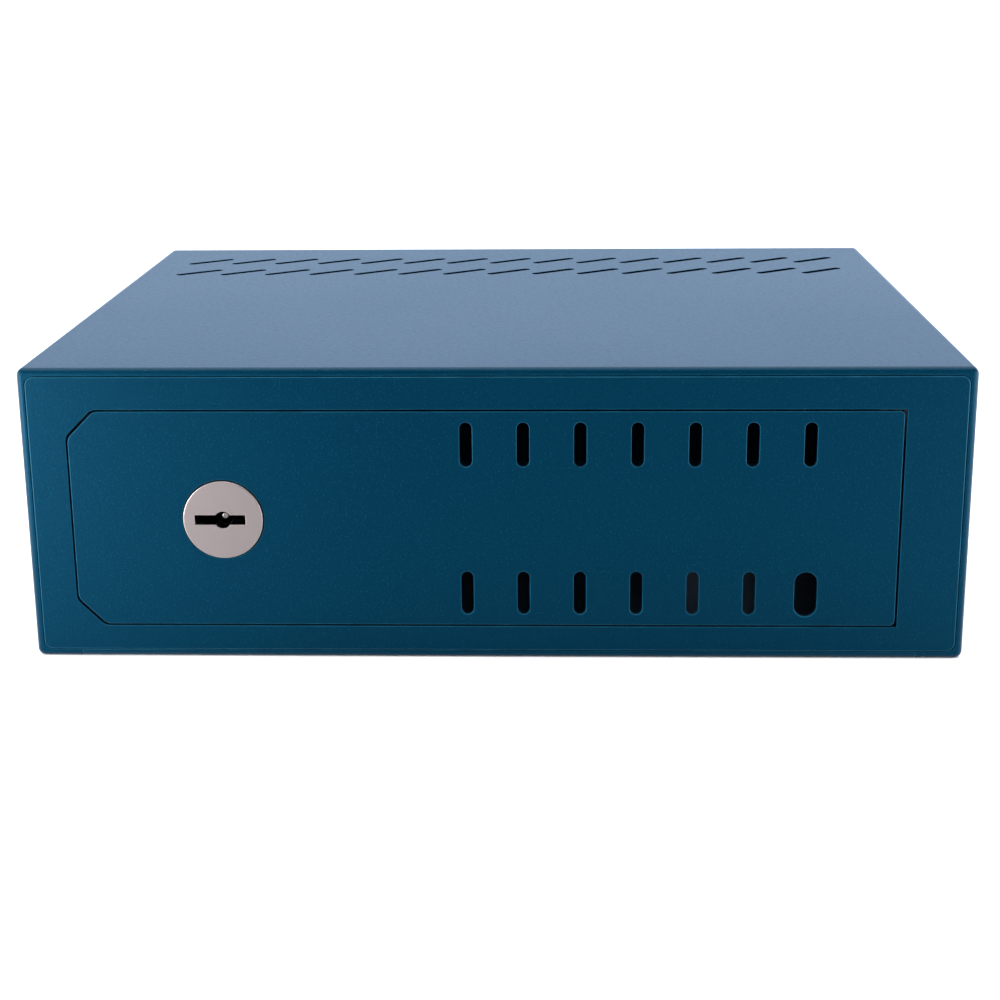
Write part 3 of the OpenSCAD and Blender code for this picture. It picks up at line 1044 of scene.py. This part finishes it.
    def stop_welds(self) -> Piece:
        """Makes the beads along the door stops and the foot of the bolt keeper.

        Returns:
            The piece.
        """
        beads = []
        for side in SIDES:
            low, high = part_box(f"door_stop_{side}")
            z = high.z if side == "upper" else low.z
            for x in spread(low.x, high.x, self.stop_stitches):
                beads.append(self._stitch(Vector((x, low.y + self.stop_lift, z)), RIGHT))
        low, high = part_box("bolt_keeper")
        for z in (low.z + self.keeper_inset, high.z - self.keeper_inset):
            beads.append(self._stitch(Vector((low.x, low.y + self.stop_lift, z)), UP))
        return finish_piece("frame_welds", joined(beads), Body.CABINET, Slot.PAINT)


@dataclass
class HingePair:
    """The concealed hinge: brackets and pins on the frame, knuckles on the door."""

    bracket_edge: float = 0.5 * MM
    knuckle_edge: float = 0.4 * MM
    pin_edge: float = 0.6 * MM
    washer_edge: float = 0.2 * MM
    bead_radius: float = 1.5 * MM
    bead_inset: float = 1.5 * MM
    bead_lift: float = 0.5 * MM

    def build(self) -> None:
        """Makes both hinges."""
        for side in SIDES:
            rolled_part(f"hinge_bracket_{side}", Body.CABINET, Slot.PAINT, self.bracket_edge)
            rolled_part(f"hinge_pin_{side}", Body.CABINET, Slot.ZINC, self.pin_edge)
            rolled_part(f"hinge_knuckle_{side}", Body.DOOR, Slot.PAINT, self.knuckle_edge)
        self.washers()
        self.leaf_welds("hinge_bracket", Body.CABINET)
        self.leaf_welds("hinge_knuckle", Body.DOOR)

    def washers(self) -> Piece:
        """Makes the thrust washers, darkened all over with painted shade for the gap between door and frame
        where they sit.

        Returns:
            The piece.
        """
        draft = merged_copy("hinge_washers")
        round_edges(draft, everywhere, self.washer_edge, segments=2, edge_mark=0.0)
        # Painted shade over the whole washers.
        paint_shade(draft, everywhere)
        name = "hinge_washers"
        return finish_piece(f"{name}_finished", draft, Body.CABINET, Slot.ZINC, [name])

    def leaf_welds(self, leaf: str, body: Body) -> Piece:
        """Makes the beads down both sides of the two leaves of one kind.

        Args:
            leaf: What the leaves' names begin with.
            body: The body that they ride on.

        Returns:
            The piece.
        """
        torch = WeldTorch(self.bead_radius)
        beads = []
        for side in SIDES:
            low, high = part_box(f"{leaf}_{side}")
            for x in (low.x, high.x):
                start = Vector((x, low.y + self.bead_lift, low.z + self.bead_inset))
                end = Vector((x, low.y + self.bead_lift, high.z - self.bead_inset))
                beads.append(torch.lay(start, end))
        return finish_piece(f"{leaf}_welds", joined(beads), body, Slot.PAINT)


@dataclass
class Door:
    """The door plate and its stiffener."""

    plate_edge: float = 0.5 * MM
    stiffener_edge: float = 0.5 * MM
    brim: float = 1.5 * MM
    spots: int = 6
    spot_inset: float = 5.5 * MM
    spot_radius: float = 2.6 * MM
    spot_rise: float = 0.18 * MM
    spot_steps: int = 20
    spot_profile: Profile = (
        (0.0, -1.0), (1.0, -1.0), (1.0, 0.3), (0.86, 1.0), (0.7, 0.4), (0.35, 0.1), (0.0, 0.0),
    )

    def build(self) -> None:
        """Makes the door."""
        self.plate()
        rolled_part("door_stiffener", Body.DOOR, Slot.PAINT, self.stiffener_edge)
        self.spot_welds()

    def plate(self) -> Piece:
        """Makes the flush plate, with rolled edges round its outline, slots and lock hole.

        Returns:
            The piece.
        """
        return rolled_part("door_plate", Body.DOOR, Slot.PAINT, self.plate_edge, segments=4)

    def spot_welds(self) -> Piece:
        """Makes the dimpled spots where the stiffener's brims are welded on.

        Returns:
            The piece.
        """
        low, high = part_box("door_stiffener")
        outline = [(self.spot_radius * out, self.spot_rise * up) for out, up in self.spot_profile]
        drafts = []
        for x in spread(low.x, high.x, self.spots):
            for z in (low.z + self.spot_inset, high.z - self.spot_inset):
                at = Vector((x, low.y + self.brim, z))
                drafts.append(turned(outline, Axis.Y, at, self.spot_steps))
        return finish_piece("stiffener_spot_welds", joined(drafts), Body.DOOR, Slot.PAINT)


@dataclass
class LockHousing:
    """The fixed parts of the lock, which ride on the door."""

    case_edge: float = 0.4 * MM
    post_edge: float = 0.3 * MM
    spacer_edge: float = 0.1 * MM
    face_edge: float = 0.55 * MM
    face_plain: float = 20 * MM
    keyway_edge: float = 0.25 * MM
    nut_edge: float = 0.45 * MM
    stud_radius: float = 2.5 * MM
    stud_steps: int = 24
    point_depth: float = 0.8 * MM
    point_height: float = 0.3 * MM
    thread_pitch: float = 0.8 * MM
    thread_depth: float = 0.4 * MM
    thread_lead: float = 4 * MM
    thread_end: float = 1.0 * MM
    thread_root: float = 0.45
    thread_crest: float = 0.9

    def build(self) -> None:
        """Makes the housing."""
        rolled_part("lock_case", Body.DOOR, Slot.ZINC, self.case_edge)
        rolled_part("lock_cover", Body.DOOR, Slot.ZINC, self.case_edge)
        rolled_part("lock_nuts", Body.DOOR, Slot.ZINC, self.nut_edge, segments=2)
        rolled_part("guide_posts", Body.DOOR, Slot.ZINC, self.post_edge)
        rolled_part("lever_post", Body.DOOR, Slot.ZINC, self.post_edge)
        rolled_part("lever_spacers", Body.DOOR, Slot.BRASS, self.spacer_edge, segments=2)
        self.face()
        self.studs()

    def face(self) -> Piece:
        """Makes the lock face, with a fuller round on its rim than round its keyway.

        Returns:
            The piece.
        """
        draft = merged_copy("lock_escutcheon")
        low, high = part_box("lock_escutcheon")
        middle = (low + high) / 2

        def near_rim(at: Vector) -> bool:
            """Tests for the outer ring of the face."""
            return math.hypot(at.x - middle.x, at.z - middle.z) > self.face_plain

        def on_rim(edge: Edge) -> bool:
            """Tests for the edges of the outer ring."""
            return all(near_rim(v.co) for v in edge.verts)

        def in_keyway(at: Vector) -> bool:
            """Tests for the walls of the keyway and all that lies behind the face."""
            return at.y > low.y + self.keyway_edge / 2 and not near_rim(at)

        round_edges(draft, on_rim, self.face_edge, segments=4)
        round_edges(draft, lambda edge: not on_rim(edge), self.keyway_edge)
        # Painted shade: the keyway's walls and all behind the face are darkened, standing for the shade
        # inside the keyway.
        paint_shade(draft, in_keyway)
        return finish_piece("lock_face_finished", draft, Body.DOOR, Slot.NICKEL, ["lock_escutcheon"])

    def studs(self) -> Piece:
        """Makes the four weld studs, threaded over the length that the nuts need.

        Returns:
            The piece.
        """
        low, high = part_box("lock_studs")
        radius = self.stud_radius
        length = high.y - low.y
        thread_from = (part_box("lock_nuts")[0].y - low.y) - self.thread_lead
        turns = int((length - thread_from - self.thread_end) / self.thread_pitch)
        outline = [(0.0, 0.0), (radius, 0.0), (radius, thread_from)]
        for i in range(turns):
            base = thread_from + i * self.thread_pitch
            outline.append((radius - self.thread_depth, base + self.thread_root * self.thread_pitch))
            outline.append((radius, base + self.thread_crest * self.thread_pitch))
        outline.append((radius - self.thread_depth, length - self.point_height))
        outline.append((radius - self.point_depth, length))
        outline.append((0.0, length))
        drafts = []
        for x in (low.x + radius, high.x - radius):
            for z in (low.z + radius, high.z - radius):
                drafts.append(turned(outline, Axis.Y, Vector((x, low.y, z)), self.stud_steps))
        draft = joined(drafts)
        return finish_piece("lock_studs_finished", draft, Body.DOOR, Slot.ZINC, ["lock_studs"])


@dataclass
class LockWorks:
    """The moving parts of the lock."""

    rotor_edge: float = 0.18 * MM
    rotor_shade: float = 0.95
    entry_edge: float = 0.45 * MM
    entry_reach: float = 17 * MM
    pin_edge: float = 0.6 * MM
    bolt_edge: float = 0.35 * MM
    levers: int = 4

    def build(self) -> None:
        """Makes the rotor, the bolts and their carriage, and dresses the levers."""
        self.rotor()
        rolled_part("key_centre_pin", Body.ROTOR, Slot.NICKEL, self.pin_edge, segments=4)
        rolled_part("bolt_carriage", Body.BOLTS, Slot.STEEL, self.rotor_edge, segments=2)
        for side in SIDES:
            rolled_part(f"locking_bolt_{side}", Body.BOLTS, Slot.ZINC, self.bolt_edge)
        self.dress_levers()

    def rotor(self) -> Piece:
        """Makes the rotor, with a fuller round where the key enters it, and painted shade over all of it.

        Returns:
            The piece.
        """
        draft = merged_copy("key_rotor")
        low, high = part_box("key_rotor")
        middle = (low + high) / 2

        def on_entry(edge: Edge) -> bool:
            """Tests for the edge of the key slot in the front face."""
            offsets = [v.co - middle for v in edge.verts]
            inner = all(math.hypot(o.x, o.z) < self.entry_reach for o in offsets)
            return inner and on_level(edge, low.y, self.rotor_edge)

        round_edges(draft, on_entry, self.entry_edge, segments=4)
        round_edges(draft, everywhere, self.rotor_edge, segments=2)
        # Painted shade: the whole rotor is darkened, standing for the shade deep in the keyway.
        paint_shade(draft, everywhere, self.rotor_shade)
        return finish_piece("key_rotor_finished", draft, Body.ROTOR, Slot.STEEL, ["key_rotor"])

    def dress_levers(self) -> None:
        """Gives the levers and their springs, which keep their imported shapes, their finishes."""
        finishes = {f"lever_{i + 1}": Slot.BRASS for i in range(self.levers)}
        finishes["lever_springs"] = Slot.STEEL
        for node, slot in finishes.items():
            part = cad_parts[node]
            part.data.materials.clear()
            part.data.materials.append(Finishes.of(slot))
            LOG.info("%s: dressed in %s", node, slot.value)


# ---- The studio ----


@dataclass(frozen=True)
class SoftBox:
    """One rectangular studio light."""

    name: str
    place: Point
    aim: Point
    width: float
    height: float
    power: float

    def build(self) -> None:
        """Hangs the light."""
        lamp = bpy.data.lights.new(self.name, "AREA")
        lamp.shape = "RECTANGLE"
        lamp.size = self.width
        lamp.size_y = self.height
        lamp.energy = self.power
        holder = bpy.data.objects.new(self.name, lamp)
        bpy.context.scene.collection.objects.link(holder)
        holder.location = self.place
        look = Vector(self.aim) - Vector(self.place)
        holder.rotation_mode = "QUATERNION"
        holder.rotation_quaternion = look.to_track_quat("-Z", "Y")


@dataclass
class Studio:
    """A plain pale floor, soft lights and the camera."""

    floor_half: float = 20.0
    floor_drop: float = 0.02 * MM
    floor_colour: Colour = (0.86, 0.86, 0.86)
    floor_roughness: float = 0.9
    floor_sheen: float = 0.1
    camera_place: Point = (0.03354, -1.11994, 0.36495)
    camera_yaw: float = 1.903
    camera_tilt: float = 15.574
    camera_roll: float = -0.500
    lens: float = 65.66
    lens_shift: float = -0.035
    overhead_power: float = 4.0
    overhead_spread: float = 75.0
    sky_behind: Colour = (1.06, 1.44, 2.0)
    sky_in_front: Colour = (0.04, 0.05, 0.06)
    lights: list[SoftBox] = field(default_factory=lambda: [
        SoftBox("rim_light", (0.0, -0.75, 1.35), (0.0, -0.2, 0.15), 1.3, 0.5, 6.0),
        SoftBox("left_side", (-1.1, -0.15, 0.22), (-0.25, -0.2, 0.08), 0.5, 0.4, 6.0),
        SoftBox("right_side", (1.1, -0.15, 0.22), (0.25, -0.2, 0.08), 0.5, 0.4, 6.0),
        SoftBox("left_fill", (-0.50, -0.48, 0.10), (-0.25, -0.2, 0.08), 0.2, 0.18, 3.4),
        SoftBox("right_fill", (0.56, -0.48, 0.10), (0.25, -0.2, 0.08), 0.2, 0.18, 1.9),
    ])

    def build(self) -> None:
        """Sets up the whole studio."""
        self.floor()
        self.surroundings()
        self.overhead()
        for light in self.lights:
            light.build()
        self.camera()

    def floor(self) -> None:
        """Lays the floor, level with the underside of the object."""
        draft = bmesh.new()
        bmesh.ops.create_grid(draft, x_segments=4, y_segments=4, size=self.floor_half)
        level = CAD_BOX[0].z - self.floor_drop
        bmesh.ops.translate(draft, vec=(0, 0, level), verts=draft.verts[:])
        mesh = bpy.data.meshes.new("studio_floor")
        draft.to_mesh(mesh)
        draft.free()
        floor = bpy.data.objects.new("studio_floor", mesh)
        bpy.context.scene.collection.objects.link(floor)
        material = bpy.data.materials.new("studio_floor")
        material.use_nodes = True
        shader = material.node_tree.nodes["Principled BSDF"]
        shader.inputs["Base Color"].default_value = (*self.floor_colour, 1.0)
        shader.inputs["Roughness"].default_value = self.floor_roughness
        shader.inputs["Specular IOR Level"].default_value = self.floor_sheen
        mesh.materials.append(material)

    def overhead(self) -> None:
        """Hangs the very wide, very soft light over the whole floor."""
        lamp = bpy.data.lights.new("overhead", "SUN")
        lamp.energy = self.overhead_power
        lamp.angle = math.radians(self.overhead_spread)
        holder = bpy.data.objects.new("overhead", lamp)
        bpy.context.scene.collection.objects.link(holder)

    def surroundings(self) -> None:
        """Makes the room: bright and cool behind the object, dim in front of it."""
        world = bpy.data.worlds.new("studio")
        bpy.context.scene.world = world
        world.use_nodes = True
        sketch = Sketch(world.node_tree)
        back = world.node_tree.nodes["Background"]
        split = sketch.add("ShaderNodeSeparateXYZ")
        sketch.join(sketch.add("ShaderNodeTexCoord").outputs["Generated"], split.inputs[0])
        behind = sketch.ramp(split.outputs["Y"], low=-0.3, high=0.8)
        low_down = sketch.ramp(split.outputs["Z"], low=0.1, high=0.45, to_low=1.0, to_high=0.76)
        bright = sketch.times(behind, low_down)
        sky = sketch.blend(bright, self.sky_in_front, self.sky_behind)
        sketch.join(sky, back.inputs["Color"])

    def camera(self) -> None:
        """Sets up the camera."""
        data = bpy.data.cameras.new("camera")
        data.sensor_width = 36.0
        data.lens = self.lens
        data.shift_y = self.lens_shift
        data.clip_start = 0.01
        data.clip_end = 100.0
        camera = bpy.data.objects.new("camera", data)
        bpy.context.scene.collection.objects.link(camera)
        turn = (
            Matrix.Rotation(math.radians(self.camera_yaw), 4, "Z")
            @ Matrix.Rotation(math.radians(90 - self.camera_tilt), 4, "X")
            @ Matrix.Rotation(math.radians(self.camera_roll), 4, "Z")
        )
        camera.matrix_world = Matrix.Translation(self.camera_place) @ turn
        bpy.context.scene.camera = camera
        bpy.context.scene.view_settings.view_transform = "Standard"


def main() -> None:
    """Builds the cabinet's looks in order and reports each piece."""
    logging.basicConfig(level=logging.INFO, format="%(name)s: %(message)s")
    Studio().build()
    for assembly in (Enclosure(), HingePair(), Door(), LockHousing(), LockWorks()):
        LOG.info("building %s", type(assembly).__name__)
        assembly.build()


if __name__ == "__main__":
    main()
